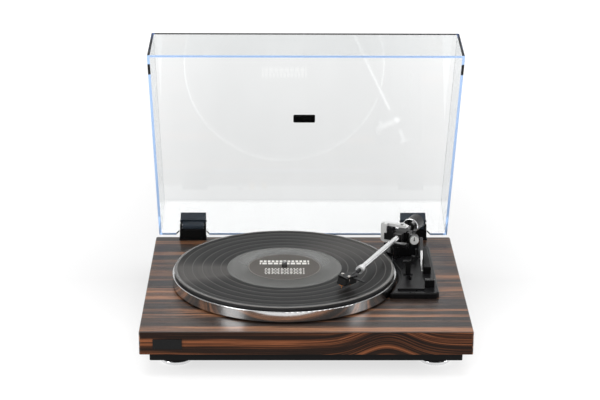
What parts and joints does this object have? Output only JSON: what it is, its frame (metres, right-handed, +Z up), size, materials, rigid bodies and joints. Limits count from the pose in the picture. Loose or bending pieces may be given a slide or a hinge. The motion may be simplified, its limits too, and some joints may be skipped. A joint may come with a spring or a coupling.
{
  "type": "turntable",
  "caption": "Belt-drive record player with veneered plinth, clear hinged lid, turning platter with record, pivoted tonearm, cue lever and sliding controls.",
  "frame": {"origin": "on the surface the feet stand on, below the middle of the whole object's box with the lid open", "axes": "+Z up, +X to the right seen from the front, +Y towards the hinges at the back"},
  "size_m": [0.43, 0.4056, 0.3969],
  "materials": {
    "veneer": "satin lacquered ebony veneer, streaks along the width",
    "black_plastic": "matte",
    "steel": "satin",
    "black_steel": "black oxide",
    "chrome": "polished",
    "chrome_tube": "polished",
    "gloss_black": "gloss",
    "brass": "satin",
    "brass_screws": "polished",
    "pale_plastic": "matte moulded",
    "rubber": "matte",
    "black_metal": "satin black",
    "grey_metal": "satin grey",
    "board": "resist coated",
    "aluminium": "machined and polished",
    "mat_rubber": "matte ribbed",
    "vinyl": "grooved gloss",
    "label_paper": "matte paper",
    "clear_acrylic": "clear polished",
    "silver_metal": "satin",
    "cartridge_black": "satin black",
    "stylus_amber": "translucent amber",
    "weight_black": "satin black",
    "grip_rubber": "matte grey"
  },
  "bodies": {
    "chassis": {"plinth": "veneer", "base_skirt": "black_plastic", "bottom_plate": "black_plastic", "bottom_screws": "steel", "foot_housings": "black_plastic", "foot_rings": "chrome", "front_badge": "gloss_black", "bearing_housing": "brass", "thrust_ball": "steel", "cam_gear": "pale_plastic", "motor": "steel", "motor_grommets": "rubber", "drive_belt": "rubber", "hinge_blocks": "black_plastic", "hinge_screws": "black_steel", "arm_base": "black_metal", "arm_base_plate": "black_metal", "control_rail": "grey_metal", "arm_tower": "black_metal", "arm_rest": "black_plastic", "rear_panel": "black_plastic", "output_sockets": "brass", "power_inlet": "gloss_black", "circuit_board": "board"},
    "platter_body": {"platter": "aluminium", "platter_mat": "mat_rubber", "record": "vinyl", "record_label": "label_paper", "spindle": "chrome", "drive_ring": "pale_plastic"},
    "pulley_body": {"motor_pulley": "brass"},
    "lid_body": {"lid": "clear_acrylic", "lid_clips": "black_plastic", "lid_bumpers": "rubber", "lid_badge": "gloss_black"},
    "gimbal_body": {"gimbal_frame": "silver_metal", "gimbal_bracket": "black_metal", "gimbal_screw": "chrome", "tilt_pins": "steel", "yaw_shaft": "steel"},
    "arm_body": {"arm_carrier": "black_metal", "arm_stub": "aluminium", "arm_tube": "chrome_tube", "tube_collar": "chrome_tube", "arm_neck": "gloss_black", "headshell": "black_metal", "cartridge": "cartridge_black", "stylus": "stylus_amber", "cartridge_screws": "brass_screws"},
    "weight_body": {"counterweight": "weight_black", "weight_ring": "chrome"},
    "cue_body": {"cue_lever": "chrome", "cue_grip": "grip_rubber"},
    "lift_body": {"lift_arc": "black_metal"},
    "antiskate_body": {"antiskate_knob": "silver_metal"},
    "clip_body": {"arm_clip": "black_plastic"},
    "start_body": {"start_knob": "gloss_black"},
    "speed_body": {"speed_slider": "gloss_black"},
    "output_body": {"output_switch": "gloss_black"},
    "earth_body": {"earth_nut": "silver_metal"}
  },
  "joints": [
    {"name": "platter_spin", "type": "hinge", "parent": "chassis", "child": "platter_body", "pos_m": [-0.0278, -0.02104, 0.0815], "axis": [0, 0, 1], "continuous": true},
    {"name": "pulley_spin", "type": "hinge", "parent": "chassis", "child": "pulley_body", "pos_m": [-0.10583, 0.04922, 0.0648], "axis": [0, 0, 1], "continuous": true},
    {"name": "lid_hinge", "type": "hinge", "parent": "chassis", "child": "lid_body", "pos_m": [0, 0.15956, 0.0781], "axis": [-1, 0, 0], "range_deg": [-60.7, 0]},
    {"name": "arm_swing", "type": "hinge", "parent": "chassis", "child": "gimbal_body", "pos_m": [0.1395, 0.07796, 0.0973], "axis": [0, 0, 1], "range_deg": [-15.5, 25.5]},
    {"name": "arm_tilt", "type": "hinge", "parent": "gimbal_body", "child": "arm_body", "pos_m": [0.1395, 0.07796, 0.0973], "axis": [-0.9107, 0.4131, 0], "range_deg": [0, 8]},
    {"name": "weight_turn", "type": "hinge", "parent": "arm_body", "child": "weight_body", "pos_m": [0.1395, 0.07796, 0.0973], "axis": [0.4131, 0.9107, 0], "continuous": true},
    {"name": "cue_turn", "type": "hinge", "parent": "chassis", "child": "cue_body", "pos_m": [0.1632, 0.01446, 0.0638], "axis": [1, 0, 0], "range_deg": [0, 56]},
    {"name": "lift_rise", "type": "slide", "parent": "chassis", "child": "lift_body", "axis": [0, 0, 1], "range_m": [0, 0.0051]},
    {"name": "antiskate_turn", "type": "hinge", "parent": "chassis", "child": "antiskate_body", "pos_m": [0.1546, 0.05496, 0.0967], "axis": [0, -1, 0], "range_deg": [0, 270]},
    {"name": "clip_turn", "type": "hinge", "parent": "chassis", "child": "clip_body", "pos_m": [0.1471, -0.02204, 0.0991], "axis": [0, -1, 0], "range_deg": [0, 90]},
    {"name": "start_slide", "type": "slide", "parent": "chassis", "child": "start_body", "axis": [0, 1, 0], "range_m": [0, 0.03]},
    {"name": "speed_slide", "type": "slide", "parent": "chassis", "child": "speed_body", "axis": [0, -1, 0], "range_m": [0, 0.006]},
    {"name": "output_slide", "type": "slide", "parent": "chassis", "child": "output_body", "axis": [1, 0, 0], "range_m": [0, 0.004]},
    {"name": "earth_turn", "type": "hinge", "parent": "chassis", "child": "earth_body", "pos_m": [-0.094, 0.15966, 0.0463], "axis": [0, 1, 0], "continuous": true}
  ],
  "couplings": [
    {"joint": "pulley_spin", "follows": "platter_spin", "ratio": 12.833},
    {"joint": "cue_turn", "follows": "arm_tilt", "ratio": 7},
    {"joint": "lift_rise", "follows": "arm_tilt", "m_per_rad": 0.03581}
  ]
}
